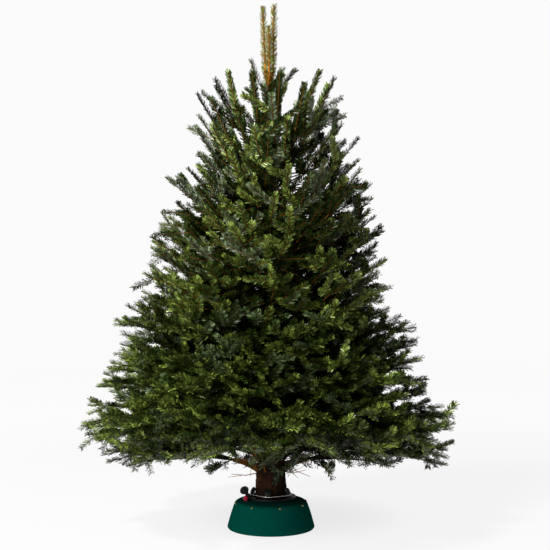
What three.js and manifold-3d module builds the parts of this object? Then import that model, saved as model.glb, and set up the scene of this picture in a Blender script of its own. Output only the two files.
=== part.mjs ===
// A cut fir Christmas tree, clamped in its round plastic stand.
//
// Units are millimetres, +Z is up and -Y is the front. The origin is the middle of the stand's flat
// underside. Azimuths are in degrees round the trunk: 0 is the front, 90 the right (+X), 180 the back.
//
// The trunk runs whole from its sawn foot in the stand to the fork below the three leading shoots. The
// crown is ten tiers of foliage masses round it, each mass the space of one or two boughs. The lowest
// boughs show bare between the trunk and their masses. The stand is a domed cover over a water cup, with
// a clamp ring that holds five claws, one steel cable round them, and a foot pedal that tightens it.
import * as THREE from "three";
import { mergeVertices } from "three/addons/utils/BufferGeometryUtils.js";
import Module from "manifold-3d";

// ---- driving sizes: trunk -------------------------------------------------------------------------
const TRUNK_FOOT_Z = 8.5; // the sawn end, just clear of the cup's floor
const TRUNK_FORK_Z = 1664; // where the leading shoots start
const TRUNK_CLAMP_Z = 150; // the claws bite here, and the butt keeps one size below it
const TRUNK_BUTT_RADIUS = 59;
const TRUNK_FORK_RADIUS = 7;
const TRUNK_TAPER = 0.0306; // radius lost for each millimetre of height
const TRUNK_SWELL = { size: 5.5, height: 80 }; // the thickening above the clamp, where limbs crowd
const TRUNK_SIDES = 18;
const TRUNK_RING_STEP = 75;
const TRUNK_LEAN = { x: -9, y: 5, height: 330 }; // how far the stem bows off the upright, and how high up

// ---- driving sizes: crown -------------------------------------------------------------------------
// One row for each tier, from the ground up. nodeZ is where its boughs leave the trunk, archZ is the
// height of their middle, tipZ the height of their tips, reach the distance of the tips from the trunk.
const TIERS = [
  { name: "a", masses: 4, nodeZ: 212, archZ: 282, tipZ: 238, reach: 612, from: 50, to: 310, bare: 150 },
  { name: "b", masses: 5, nodeZ: 285, archZ: 366, tipZ: 362, reach: 728, from: 40, to: 400, bare: 150 },
  { name: "c", masses: 5, nodeZ: 385, archZ: 462, tipZ: 502, reach: 655, from: 4, to: 364, bare: 0 },
  { name: "d", masses: 4, nodeZ: 505, archZ: 594, tipZ: 668, reach: 575, from: 38, to: 398, bare: 0 },
  { name: "e", masses: 4, nodeZ: 645, archZ: 742, tipZ: 838, reach: 512, from: 80, to: 440, bare: 0 },
  { name: "f", masses: 4, nodeZ: 792, archZ: 908, tipZ: 1026, reach: 470, from: 20, to: 380, bare: 0 },
  { name: "g", masses: 4, nodeZ: 948, archZ: 1072, tipZ: 1200, reach: 424, from: 64, to: 424, bare: 0 },
  { name: "h", masses: 3, nodeZ: 1108, archZ: 1234, tipZ: 1372, reach: 368, from: 25, to: 385, bare: 0 },
  { name: "i", masses: 3, nodeZ: 1272, archZ: 1396, tipZ: 1540, reach: 322, from: 80, to: 440, bare: 0 },
  { name: "j", masses: 3, nodeZ: 1462, archZ: 1586, tipZ: 1722, reach: 258, from: 30, to: 390, bare: 0 },
];
const TIER_GAP = 3; // clear height kept each side of the surface between two tiers
const LOWEST_DEPTH = 44; // how far the lowest tier hangs below its middle
const TOP_RISE = 34; // how far the highest tier stands above its middle
const SECTOR_GAP_DEG = 1.6;
const TRUNK_CLEARANCE = 14; // from the trunk to the masses round it
const MASS_ROWS = 4; // stations from the trunk to the tips
const MASS_COLUMNS = 6; // stations across a mass
const ROW_CROWDING = 1.5; // above 1, the stations crowd towards the tips
const EDGE_SHARE = 0.68; // share of the thickness left at a mass's tips and sides
const TIP_RAGGEDNESS = 0.11; // share of the reach by which the tips vary
const SHOULDER_DROP = 0.16; // share of the reach lost at a mass's two sides
const SURFACE_RAGGEDNESS = 0.25; // share of the thickness by which the surface varies

// The three leading shoots, with their needles: foot and tip as [x, y, z], and the two radii.
const LEADERS = [
  { name: "leader_left", foot: [-19, 3, 1668], tip: [-31, 6, 1944], radii: [9, 7] },
  { name: "leader_middle", foot: [-5, -16, 1668], tip: [-8, -17, 1866], radii: [9, 8] },
  { name: "leader_right", foot: [7, 4, 1668], tip: [11, 6, 1952], radii: [10, 8] },
];
const LEADER_SIDES = 8;

// The limbs that show below the crown: which mass each one feeds, the height at which it leaves the
// trunk, how steeply, and its radius at the trunk and where it enters the mass.
const BARE_BOUGHS = [
  { name: "bough_right", mass: "foliage_a1", z: 186, steepness: 62, radii: [16, 9] },
  { name: "bough_back_right", mass: "foliage_a2", z: 205, steepness: 48, radii: [13, 8] },
  { name: "bough_back_left", mass: "foliage_a3", z: 214, steepness: 44, radii: [13, 8] },
  { name: "bough_left", mass: "foliage_a4", z: 197, steepness: 30, radii: [9, 7] },
  { name: "bough_upper_right", mass: "foliage_b1", z: 262, steepness: 55, radii: [12, 8] },
  { name: "bough_upper_left", mass: "foliage_b4", z: 262, steepness: 50, radii: [13, 8] },
];
const BOUGH_SIDES = 8;
const BOUGH_RINGS = 6;

// ---- driving sizes: stand -------------------------------------------------------------------------
const STAND_RADIUS = 163;
const COVER_WALL = 4;
const CUP = { floorRadius: 154, floor: 8, flange: 5, inner: 84, wall: 4, height: 104 };
const RING = { inner: 74, outer: 93, bottom: 112.4, top: 118 };
const CLAW_COUNT = 5;
const CLAW_START = -80; // azimuth of the claw beside the pedal
const CLAW_WIDTH = 22;
const CABLE = { radius: 1.5, ring: 77.2, z: 127, sides: 8 };
const PEDAL = { pivotX: -87, pivotZ: 124.5, y: -44, lean: 14, length: 24, armWidth: 12, padWidth: 26 };
const CLEAR = 0.4; // between solids that rest on each other
const ROUND_SIDES = 40;

const wasm = await Module();
wasm.setup();

// ---- helpers --------------------------------------------------------------------------------------
const radians = (degrees) => (degrees * Math.PI) / 180;

/** A repeatable stream of numbers from 0 to 1. */
function randomStream(seed) {
  let state = seed >>> 0;
  return () => {
    state = (state + 0x6d2b79f5) >>> 0;
    let t = Math.imul(state ^ (state >>> 15), 1 | state);
    t = (t + Math.imul(t ^ (t >>> 7), 61 | t)) ^ t;
    return ((t ^ (t >>> 14)) >>> 0) / 4294967296;
  };
}

/** The point at this distance from the upright axis, azimuth and height. */
function polar(radius, azimuth, z) {
  const a = radians(azimuth);
  return new THREE.Vector3(radius * Math.sin(a), -radius * Math.cos(a), z);
}

/** A closed mesh's geometry from points and triangles of point numbers. */
function geometryOf(points, triangles) {
  const geometry = new THREE.BufferGeometry();
  const places = new THREE.Float32BufferAttribute(points.flatMap((p) => p.toArray()), 3);
  geometry.setAttribute("position", places);
  geometry.setIndex(triangles.flat());
  return geometry;
}

/** Skins rings of points, each turning anticlockwise as seen from the next ring, into one solid. */
function skin(rings, closed = false) {
  const sides = rings[0].length;
  const points = rings.flat();
  const triangles = [];
  const spans = closed ? rings.length : rings.length - 1;
  for (let i = 0; i < spans; i++) {
    const low = i * sides;
    const high = ((i + 1) % rings.length) * sides;
    for (let k = 0; k < sides; k++) {
      const next = (k + 1) % sides;
      triangles.push([low + k, low + next, high + next], [low + k, high + next, high + k]);
    }
  }
  if (!closed) {
    const last = (rings.length - 1) * sides;
    for (let k = 1; k < sides - 1; k++) {
      triangles.push([0, k + 1, k], [last, last + k, last + k + 1]);
    }
  }
  return geometryOf(points, triangles);
}

/** A limb of round section along a path of points, with a radius for each. */
function limb(path, radii, sides, closed = false) {
  const curve = new THREE.CatmullRomCurve3(path, closed, "centripetal");
  const rings = path.map((point, i) => {
    const along = curve.getTangent(i / (closed ? path.length : path.length - 1));
    const side = new THREE.Vector3(0, 1, 0).cross(along);
    if (side.lengthSq() < 0.05) side.set(0, 0, 1).cross(along);
    side.normalize();
    const up = along.clone().cross(side);
    return Array.from({ length: sides }, (_, k) => {
      const turn = (k * 2 * Math.PI) / sides;
      return point
        .clone()
        .addScaledVector(side, radii[i] * Math.cos(turn))
        .addScaledVector(up, radii[i] * Math.sin(turn));
    });
  });
  return skin(rings, closed);
}

/** A solid turned round the upright axis from a profile of [radius, z] pairs. */
function turned(profile) {
  const outline = profile.map(([radius, z]) => new THREE.Vector2(radius, z));
  return new THREE.LatheGeometry(outline, ROUND_SIDES).rotateX(Math.PI / 2);
}

/** An outline of [x, z] pairs, extruded by width along Y and centred on it. */
function slab(outline, width) {
  const shape = new THREE.Shape(outline.map(([x, z]) => new THREE.Vector2(x, z)));
  const geometry = new THREE.ExtrudeGeometry(shape, { depth: width, bevelEnabled: false });
  return geometry.translate(0, 0, -width / 2).rotateX(Math.PI / 2);
}

function toSolid(geometry) {
  const bare = geometry.clone();
  bare.deleteAttribute("normal");
  bare.deleteAttribute("uv");
  const merged = mergeVertices(bare, 1e-3);
  return new wasm.Manifold(
    new wasm.Mesh({
      numProp: 3,
      vertProperties: merged.attributes.position.array,
      triVerts: new Uint32Array(merged.index.array),
    }),
  );
}

function toGeometry(solid) {
  const mesh = solid.getMesh();
  const geometry = new THREE.BufferGeometry();
  geometry.setAttribute("position", new THREE.BufferAttribute(mesh.vertProperties, 3));
  geometry.setIndex(new THREE.BufferAttribute(mesh.triVerts, 1));
  return geometry;
}

// ---- materials ------------------------------------------------------------------------------------
const paint = (color, roughness, metalness = 0) =>
  new THREE.MeshStandardMaterial({ color, roughness, metalness });
const bark = paint(0x3d2415, 0.9);
const youngWood = paint(0x8a6a2c, 0.8);
const needles = paint(0x2c3d1c, 0.7);
const greenPlastic = paint(0x063b30, 0.35);
const blackPlastic = paint(0x0d0f0e, 0.5);
const redPlastic = paint(0xb01238, 0.4);
const steel = paint(0xb4b4ae, 0.3, 1);

const tree = new THREE.Group();

function add(name, geometry, material, parent = tree) {
  const mesh = new THREE.Mesh(geometry, material);
  mesh.name = name;
  parent.add(mesh);
  return mesh;
}

// ---- trunk ----------------------------------------------------------------------------------------
function trunkRadius(z) {
  if (z <= TRUNK_CLAMP_Z + 5) return TRUNK_BUTT_RADIUS;
  const above = (z - TRUNK_CLAMP_Z) / TRUNK_SWELL.height;
  const swell = TRUNK_SWELL.size * Math.exp(-above * above);
  return TRUNK_FORK_RADIUS + TRUNK_TAPER * (TRUNK_FORK_Z - z) + swell;
}

/** The middle of the trunk: upright in the clamp, then bowing a little to the left and back. */
function trunkMiddle(z) {
  const share = Math.min(1, Math.max(0, (z - TRUNK_CLAMP_Z) / TRUNK_LEAN.height));
  const bow = share * share * (3 - 2 * share);
  return new THREE.Vector3(TRUNK_LEAN.x * bow, TRUNK_LEAN.y * bow, z);
}

function trunkShape(extra = 0) {
  const count = Math.round((TRUNK_FORK_Z - TRUNK_CLAMP_Z) / TRUNK_RING_STEP);
  const heights = Array.from({ length: count + 1 }, (_, i) =>
    THREE.MathUtils.lerp(TRUNK_CLAMP_Z + 5, TRUNK_FORK_Z, i / count),
  );
  const rings = [TRUNK_FOOT_Z, ...heights].map((z, i) => {
    const middle = trunkMiddle(z);
    const ridges = i > 1 ? 0.025 : 0;
    return Array.from({ length: TRUNK_SIDES }, (_, k) => {
      const azimuth = (-k * 360) / TRUNK_SIDES;
      const uneven = 1 + ridges * Math.sin(radians(azimuth * 3) + z / 150);
      return polar(trunkRadius(z) * uneven + extra, azimuth, 0).negate().add(middle);
    });
  });
  return skin(rings.map((ring) => ring.reverse()));
}

add("trunk", trunkShape(), bark);

// ---- crown ----------------------------------------------------------------------------------------
/** The height of a tier's middle at this distance from the trunk: one arch through its three heights. */
function tierMiddle(tier, radius) {
  const t = radius / tier.reach;
  const bend = 4 * tier.archZ - tier.tipZ - 3 * tier.nodeZ;
  return tier.nodeZ + bend * t + (tier.tipZ - tier.nodeZ - bend) * t * t;
}

/** The heights between which a tier may fill, at this distance from the trunk. */
function tierSpace(index, radius) {
  const middle = tierMiddle(TIERS[index], radius);
  const below = TIERS[index - 1];
  const above = TIERS[index + 1];
  const low = below ? (middle + tierMiddle(below, radius)) / 2 + TIER_GAP : middle - LOWEST_DEPTH;
  const high = above ? (middle + tierMiddle(above, radius)) / 2 - TIER_GAP : middle + TOP_RISE;
  return { low: Math.min(low, middle - 2), middle, high: Math.max(high, middle + 2) };
}

/** One mass of foliage: a pillow that fills its share of the tier, with blunt, ragged edges. */
function foliageMass(index, azimuth, halfWidth, seed) {
  const tier = TIERS[index];
  const random = randomStream(seed);
  const start = tier.bare || trunkRadius(tier.nodeZ) + TRUNK_CLEARANCE;
  const tips = Array.from({ length: MASS_COLUMNS + 1 }, (_, c) => {
    const across = (2 * c) / MASS_COLUMNS - 1;
    const spike = (c % 2 ? 1 : -1) * TIP_RAGGEDNESS * (0.35 + 0.4 * random());
    return tier.reach * (1 - TIP_RAGGEDNESS / 2 + spike - SHOULDER_DROP * across * across);
  });
  const points = [];
  for (const face of ["high", "low"]) {
    for (let row = 0; row <= MASS_ROWS; row++) {
      const t = 1 - (1 - row / MASS_ROWS) ** ROW_CROWDING;
      for (let c = 0; c <= MASS_COLUMNS; c++) {
        const across = (2 * c) / MASS_COLUMNS - 1;
        const radius = start + (tips[c] - start) * t;
        const space = tierSpace(index, radius);
        const thinning = (1 - (1 - EDGE_SHARE) * across ** 6) * (1 - (1 - EDGE_SHARE) * t ** 4);
        const uneven = 1 - SURFACE_RAGGEDNESS * random();
        const z = space.middle + (space[face] - space.middle) * thinning * uneven;
        points.push(polar(radius, azimuth + halfWidth * across, z));
      }
    }
  }
  const wide = MASS_COLUMNS + 1;
  const lowFace = (MASS_ROWS + 1) * wide; // where the low face's points start
  const at = (row, c) => row * wide + c;
  const triangles = [];
  for (let row = 0; row < MASS_ROWS; row++) {
    for (let c = 0; c < MASS_COLUMNS; c++) {
      const [p, q, r, s] = [at(row, c), at(row, c + 1), at(row + 1, c + 1), at(row + 1, c)];
      triangles.push([p, r, q], [p, s, r]);
      triangles.push([p, q, r].map((n) => n + lowFace), [p, r, s].map((n) => n + lowFace));
    }
  }
  const rows = Array.from({ length: MASS_ROWS }, (_, i) => i);
  const columns = Array.from({ length: MASS_COLUMNS }, (_, i) => i);
  const border = [
    ...columns.map((c) => at(0, c)),
    ...rows.map((row) => at(row, MASS_COLUMNS)),
    ...columns.map((c) => at(MASS_ROWS, MASS_COLUMNS - c)),
    ...rows.map((row) => at(MASS_ROWS - row, 0)),
  ];
  border.forEach((here, i) => {
    const next = border[(i + 1) % border.length];
    triangles.push([here, next, next + lowFace], [here, next + lowFace, here + lowFace]);
  });
  return geometryOf(points, triangles);
}

const massMiddles = new Map(); // each mass's azimuth and tier, for the limbs that feed it

TIERS.forEach((tier, index) => {
  const sector = (tier.to - tier.from) / tier.masses;
  for (let m = 0; m < tier.masses; m++) {
    const name = `foliage_${tier.name}${m + 1}`;
    const azimuth = tier.from + sector * (m + 0.5);
    massMiddles.set(name, { azimuth, tier });
    add(name, foliageMass(index, azimuth, (sector - SECTOR_GAP_DEG) / 2, 97 * index + m + 1), needles);
  }
});

for (const leader of LEADERS) {
  const [foot, tip] = [new THREE.Vector3(...leader.foot), new THREE.Vector3(...leader.tip)];
  const path = [0, 0.35, 0.7, 0.93, 1].map((t) => foot.clone().lerp(tip, t));
  const [thick, thin] = leader.radii;
  const radii = [thick * 0.7, thick, (thick + thin) / 2, thin, thin * 0.4];
  add(leader.name, limb(path, radii, LEADER_SIDES), youngWood);
}

/** A bare limb that leaves the trunk steeply and levels out as it enters its mass. */
function bareBough(bough) {
  const { azimuth, tier } = massMiddles.get(bough.mass);
  const foot = trunkMiddle(bough.z);
  const end = polar(tier.bare + 10, azimuth, tierMiddle(tier, tier.bare));
  const outward = polar(1, azimuth, 0);
  const stride = tier.bare * 0.5;
  const rise = Math.min(stride * Math.tan(radians(bough.steepness)), end.z - bough.z);
  const knee = foot.clone().addScaledVector(outward, stride).setZ(bough.z + rise);
  const curve = new THREE.QuadraticBezierCurve3(foot, knee, end);
  const radii = Array.from({ length: BOUGH_RINGS + 1 }, (_, i) =>
    THREE.MathUtils.lerp(bough.radii[0], bough.radii[1], Math.sqrt(i / BOUGH_RINGS)),
  );
  const shape = limb(curve.getSpacedPoints(BOUGH_RINGS), radii, BOUGH_SIDES);
  const reach = tier.bare - 1.4; // the flat sides of the masses lie a little inside their arc
  const limit = new THREE.CylinderGeometry(reach, reach, 4 * end.z, ROUND_SIDES).rotateX(Math.PI / 2);
  const trimmed = toSolid(shape).intersect(toSolid(limit));
  return toGeometry(trimmed.subtract(toSolid(trunkShape(CLEAR))));
}

for (const bough of BARE_BOUGHS) add(bough.name, bareBough(bough), bark);

// ---- stand ----------------------------------------------------------------------------------------
/** The domed cover: a raked wall, a round shoulder and a shallow deck with a hole for the trunk. */
const coverOutline = [
  [STAND_RADIUS - 3, 0],
  [STAND_RADIUS, 5],
  [STAND_RADIUS - 12, 50],
  [STAND_RADIUS - 24, 86],
  [STAND_RADIUS - 29, 96],
  [STAND_RADIUS - 38, 102],
  [108, 108],
  [80, 112],
];
const coverInside = coverOutline
  .slice(1)
  .reverse()
  .map(([radius, z]) => [radius - (z < 95 ? COVER_WALL : 0), z - (z < 90 ? 0 : COVER_WALL)]);
const coverFoot = [STAND_RADIUS - 3 - COVER_WALL, 0];
add(
  "stand_cover",
  turned([...coverOutline, ...coverInside, coverFoot, coverOutline[0]]),
  greenPlastic,
);

add(
  "stand_cup",
  turned([
    [0, 0],
    [CUP.floorRadius, 0],
    [CUP.floorRadius, CUP.flange],
    [CUP.inner + CUP.wall, CUP.flange],
    [CUP.inner + CUP.wall, CUP.height],
    [CUP.inner, CUP.height],
    [CUP.inner, CUP.floor],
    [0, CUP.floor],
  ]),
  greenPlastic,
);

/** The clamp ring, with the tongue and two cheeks that carry the pedal. */
function clampRing() {
  const ring = turned([
    [RING.inner, RING.bottom],
    [RING.outer, RING.bottom],
    [RING.outer, RING.top],
    [RING.inner, RING.top],
    [RING.inner, RING.bottom],
  ]);
  let solid = toSolid(ring);
  const tongue = slab(
    [
      [-106, RING.bottom],
      [-78, RING.bottom],
      [-78, RING.bottom + 3],
      [-106, RING.bottom + 3],
    ],
    PEDAL.armWidth + 15,
  ).translate(0, PEDAL.y, 0);
  solid = solid.add(toSolid(tongue));
  const cheek = [
    [-97, RING.bottom + 1],
    [-78, RING.bottom + 1],
    [-79, PEDAL.pivotZ + 4],
    [-86, PEDAL.pivotZ + 7],
    [-93, PEDAL.pivotZ + 4],
  ];
  for (const side of [-1, 1]) {
    const y = PEDAL.y + side * (PEDAL.armWidth / 2 + 4.5);
    solid = solid.add(toSolid(slab(cheek, 6).translate(0, y, 0)));
  }
  return toGeometry(solid);
}
add("clamp_ring", clampRing(), blackPlastic);

/** A claw in profile, [distance from the axis, z]: it stands on the ring, and its toe bites the trunk. */
const toe = TRUNK_BUTT_RADIUS + CLEAR;
const clawOutline = [
  [toe, TRUNK_CLAMP_Z - 9],
  [toe, TRUNK_CLAMP_Z],
  [toe + 6, TRUNK_CLAMP_Z + 2],
  [toe + 13, TRUNK_CLAMP_Z - 5],
  [78.5, CABLE.z + 5],
  [75, CABLE.z + 3.5],
  [75, CABLE.z - 3.5],
  [81, CABLE.z - 4.5],
  [84, RING.top + CLEAR],
  [75.5, RING.top + CLEAR],
  [70, CABLE.z - 3],
  [67, TRUNK_CLAMP_Z - 13],
];
for (let i = 0; i < CLAW_COUNT; i++) {
  const azimuth = CLAW_START + (i * 360) / CLAW_COUNT;
  const claw = add(`claw_${i + 1}`, slab([...clawOutline].reverse(), CLAW_WIDTH), blackPlastic);
  claw.rotation.z = radians(azimuth - 90);
}

/** The cable: one closed loop that lies in every claw's groove and runs straight between them. */
function cableLoop() {
  const half = CLAW_WIDTH / 2 + 1;
  const path = [];
  for (let i = 0; i < CLAW_COUNT; i++) {
    const azimuth = CLAW_START + (i * 360) / CLAW_COUNT;
    const middle = polar(CABLE.ring, azimuth, CABLE.z);
    const along = polar(1, azimuth + 90, 0);
    const next = polar(CABLE.ring, azimuth + 360 / CLAW_COUNT, CABLE.z);
    const leave = middle.clone().addScaledVector(along, half);
    const arrive = next.clone().addScaledVector(polar(1, azimuth + 360 / CLAW_COUNT + 90, 0), -half);
    path.push(middle, leave.clone().addScaledVector(along, -2), leave);
    for (const t of [0.1, 0.5, 0.9]) path.push(leave.clone().lerp(arrive, t));
    path.push(arrive, arrive.clone().addScaledVector(polar(1, azimuth + 360 / CLAW_COUNT + 90, 0), 2));
  }
  return limb(path, path.map(() => CABLE.radius), CABLE.sides, true);
}
add("clamp_cable", cableLoop(), steel);

/** The foot pedal, built upright over its pivot: an arm between the cheeks and a wide rounded pad. */
function pedalShape() {
  const pad = new THREE.Shape();
  const [padX, padZ, padRadius] = [-6, PEDAL.length, 13];
  pad.absellipse(padX, padZ, padRadius * 1.25, padRadius, 0, 2 * Math.PI, false, 0);
  const roundPad = slab(
    pad.getPoints(7).slice(0, -1).map((p) => [p.x, p.y]),
    PEDAL.padWidth,
  );
  const arm = slab(
    [
      [-6, -3],
      [2, -5.5],
      [7, 2],
      [6, 14],
      [4, PEDAL.length],
      [-10, PEDAL.length],
      [-6, 10],
      [-7, 4],
    ],
    PEDAL.armWidth,
  );
  return toGeometry(toSolid(arm).add(toSolid(roundPad)));
}
const pedalFrame = new THREE.Group();
pedalFrame.position.set(PEDAL.pivotX, PEDAL.y, PEDAL.pivotZ);
pedalFrame.rotation.y = radians(-PEDAL.lean);
tree.add(pedalFrame);
add("foot_pedal", pedalShape(), blackPlastic, pedalFrame);

/** The red lock tab, on the outside of the front cheek. */
const tabOutline = [
  [-99, RING.top - 6],
  [-89, RING.top - 8],
  [-86, RING.top + 3],
  [-90, RING.top + 12],
  [-98, RING.top + 11],
  [-102, RING.top + 3],
];
const tabY = PEDAL.y - PEDAL.armWidth / 2 - 7.5 - CLEAR - 4;
add("lock_tab", slab(tabOutline, 8).translate(0, tabY, 0), redPlastic);

export default tree;
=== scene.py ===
"""A cut fir Christmas tree in its round plastic stand: needles, twigs, bark, stand and stage."""

import math
import random

import bmesh
import bpy
import numpy as np
from mathutils import Matrix, Vector, noise


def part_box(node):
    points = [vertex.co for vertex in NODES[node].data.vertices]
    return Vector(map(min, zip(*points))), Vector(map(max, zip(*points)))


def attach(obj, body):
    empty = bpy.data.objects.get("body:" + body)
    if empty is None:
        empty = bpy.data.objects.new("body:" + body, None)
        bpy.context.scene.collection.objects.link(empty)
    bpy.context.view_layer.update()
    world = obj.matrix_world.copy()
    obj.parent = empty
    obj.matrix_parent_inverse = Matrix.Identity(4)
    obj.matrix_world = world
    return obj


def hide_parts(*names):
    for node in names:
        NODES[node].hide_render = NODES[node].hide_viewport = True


bl_info = {
    "name": "Christmas Tree in Stand",
    "version": (1, 0, 0),
    "blender": (4, 5, 0),
    "location": "3D View > Sidebar > Tree",
    "description": "Grows a cut fir round its trunk and finishes its stand",
    "category": "Object",
}

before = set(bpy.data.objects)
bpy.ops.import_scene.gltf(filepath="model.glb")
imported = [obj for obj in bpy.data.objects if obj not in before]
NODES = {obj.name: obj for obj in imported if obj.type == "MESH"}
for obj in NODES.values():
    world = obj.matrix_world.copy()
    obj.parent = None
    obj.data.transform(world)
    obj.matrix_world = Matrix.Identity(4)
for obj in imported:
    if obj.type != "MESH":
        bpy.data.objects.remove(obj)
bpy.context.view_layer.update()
UP = Vector((0, 0, 1))

MASSES = sorted(name for name in NODES if name.startswith("foliage_"))
LEADERS = sorted(name for name in NODES if name.startswith("leader_"))
BARE_BOUGHS = sorted(name for name in NODES if name.startswith("bough_"))
CLAWS = sorted(name for name in NODES if name.startswith("claw_"))


# what each point of a shoot carries after the three numbers of its upward direction, in this order
COLUMNS = ("width", "crowding", "tone", "other", "vigour", "lean", "wrap", "wood", "broad")
CROWDING_COLUMN = 3 + COLUMNS.index("crowding")


# ---- nodes written as expressions -----------------------------------------------------------------
class Value:
    """An output socket. Arithmetic on it adds Math nodes to its tree."""

    def __init__(self, net, socket):
        self.net = net
        self.socket = socket

    def out(self, name):
        """Another output of the same node."""
        return Value(self.net, self.socket.node.outputs[name])

    def math(self, operation, *others):
        places = dict(enumerate((self, *others)))
        return self.net.add("ShaderNodeMath", {"operation": operation}, places)

    def vector(self, operation, *others, out=0):
        settings = {"operation": operation}
        return self.net.add("ShaderNodeVectorMath", settings, dict(enumerate((self, *others))), out)

    def scaled(self, factor):
        """This vector times a number."""
        return self.net.add("ShaderNodeVectorMath", {"operation": "SCALE"}, {0: self, "Scale": factor})

    def unit(self):
        return self.vector("NORMALIZE")

    def __add__(self, other):
        return self.math("ADD", other)

    __radd__ = __add__

    def __sub__(self, other):
        return self.math("SUBTRACT", other)

    def __rsub__(self, other):
        return self.math("MULTIPLY", -1.0) + other

    def __mul__(self, other):
        return self.math("MULTIPLY", other)

    __rmul__ = __mul__

    def __truediv__(self, other):
        return self.math("DIVIDE", other)

    def __pow__(self, other):
        return self.math("POWER", other)

    def ramp(self, low, high):
        """0 below low, 1 above high, smooth between."""
        settings = {"interpolation_type": "SMOOTHSTEP"}
        places = {"Value": self, "From Min": low, "From Max": high}
        return self.net.add("ShaderNodeMapRange", settings, places)


class Net:
    """A shader or geometry node tree under construction."""

    def __init__(self, tree):
        self.tree = tree

    def add(self, kind, settings=None, inputs=None, out=0):
        """A node of this type, with its settings set first and then its sockets, by value or link."""
        node = self.tree.nodes.new(kind)
        for key, value in (settings or {}).items():
            setattr(node, key, value)
        for key, value in (inputs or {}).items():
            if isinstance(value, Value):
                self.tree.links.new(value.socket, node.inputs[key])
            else:
                node.inputs[key].default_value = value
        return Value(self, node.outputs[out]) if node.outputs else node

    def mix(self, factor, a, b):
        """Two colours mixed by a factor."""
        return self.add("ShaderNodeMix", {"data_type": "RGBA"}, {0: factor, 6: a, 7: b}, 2)

    def noise(self, place, scale, detail=4.0, roughness=0.55, distortion=0.0):
        inputs = {"Vector": place, "Scale": scale, "Detail": detail}
        inputs |= {"Roughness": roughness, "Distortion": distortion}
        return self.add("ShaderNodeTexNoise", None, inputs)


class Surface(Net):
    """A material's node tree round one Principled shader."""

    def __init__(self, name, color=(0.5, 0.5, 0.5), roughness=0.5, **sockets):
        self.material = bpy.data.materials.new(name)
        self.material.use_nodes = True
        super().__init__(self.material.node_tree)
        self.shader = self.tree.nodes["Principled BSDF"]
        self.set("Base Color", (*color[:3], 1.0))
        self.set("Roughness", roughness)
        for key, value in sockets.items():
            self.set(key.replace("_", " ").title().replace("Ior", "IOR"), value)
        self.material.diffuse_color = (*color[:3], 1.0)

    def set(self, key, value):
        if isinstance(value, Value):
            self.tree.links.new(value.socket, self.shader.inputs[key])
        else:
            self.shader.inputs[key].default_value = value

    def place(self, squeeze=(1.0, 1.0, 1.0)):
        """Object coordinates, squeezed along the axes."""
        return self.add("ShaderNodeTexCoord", None, None, "Object").vector("MULTIPLY", squeeze)

    def from_axis(self, place):
        """How far a place is from the upright axis."""
        parts = self.add("ShaderNodeSeparateXYZ", None, {0: place})
        return (parts * parts + parts.out("Y") * parts.out("Y")).math("SQRT")

    def bump(self, height, strength=0.5, distance=0.001):
        places = {"Strength": strength, "Distance": distance, "Height": height}
        self.set("Normal", self.add("ShaderNodeBump", None, places))


class Sockets(Net):
    """A geometry node tree with named inputs, as a modifier on one object."""

    def __init__(self, name, inputs):
        super().__init__(bpy.data.node_groups.new(name, "GeometryNodeTree"))
        face = self.tree.interface
        face.new_socket("Geometry", in_out="INPUT", socket_type="NodeSocketGeometry")
        for key, value in inputs.items():
            kind = "NodeSocketObject" if isinstance(value, bpy.types.Object) else "NodeSocketFloat"
            face.new_socket(key, in_out="INPUT", socket_type=kind)
        face.new_socket("Geometry", in_out="OUTPUT", socket_type="NodeSocketGeometry")
        self.values = inputs
        self.start = self.add("NodeGroupInput")

    def named(self, name, kind="FLOAT"):
        return self.add("GeometryNodeInputNamedAttribute", {"data_type": kind}, {"Name": name})

    def random(self, low, high, index, seed):
        inputs = {2: low, 3: high, "ID": index, "Seed": seed}
        return self.add("FunctionNodeRandomValue", {"data_type": "FLOAT"}, inputs, 1)

    def curves(self):
        """The source object's lines as curves."""
        return self.add("GeometryNodeMeshToCurve", None, {0: self.start.out("Geometry")})

    def toned(self, geometry, tone):
        """The geometry with its material's number kept on its points."""
        settings = {"data_type": "FLOAT", "domain": "POINT"}
        inputs = {"Geometry": geometry, "Name": "tone", "Value": tone}
        return self.add("GeometryNodeStoreNamedAttribute", settings, inputs)

    def scatter(self, points, shape, inputs):
        """A copy on every point of the object at the input named shape."""
        info = self.add("GeometryNodeObjectInfo", None, {0: self.start.out(shape)}, "Geometry")
        inputs = {"Points": points, "Instance": info, **inputs}
        return self.add("GeometryNodeInstanceOnPoints", None, inputs)

    def finish(self, geometry, materials):
        """Realises the instances and deals out the materials by the attribute named tone."""
        shape = self.add("GeometryNodeRealizeInstances", None, {0: geometry})
        tone = self.named("tone")
        for number, material in enumerate(materials):
            settings = {"data_type": "FLOAT", "operation": "EQUAL"}
            inputs = {0: tone, 1: float(number), "Epsilon": 0.5}
            chosen = self.add("FunctionNodeCompare", settings, inputs)
            inputs = {"Geometry": shape, "Selection": chosen, "Material": material}
            shape = self.add("GeometryNodeSetMaterial", None, inputs)
        self.add("NodeGroupOutput", None, {0: shape})

    def mesh(self, name, source):
        """Runs the tree on the source object and returns the result as a plain object."""
        modifier = source.modifiers.new("build", "NODES")
        modifier.node_group = self.tree
        for item in self.tree.interface.items_tree:
            if item.in_out == "INPUT" and item.name in self.values:
                modifier[item.identifier] = self.values[item.name]
        graph = bpy.context.evaluated_depsgraph_get()
        mesh = bpy.data.meshes.new_from_object(source.evaluated_get(graph), depsgraph=graph)
        source.modifiers.remove(modifier)
        for key in ("up", *COLUMNS):
            if key != "tone" and key in mesh.attributes:
                mesh.attributes.remove(mesh.attributes[key])
        mesh.name = name
        bpy.data.objects.remove(source)
        return link(name, mesh)


def link(name, mesh):
    piece = bpy.data.objects.new(name, mesh)
    bpy.context.scene.collection.objects.link(piece)
    return piece


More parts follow.
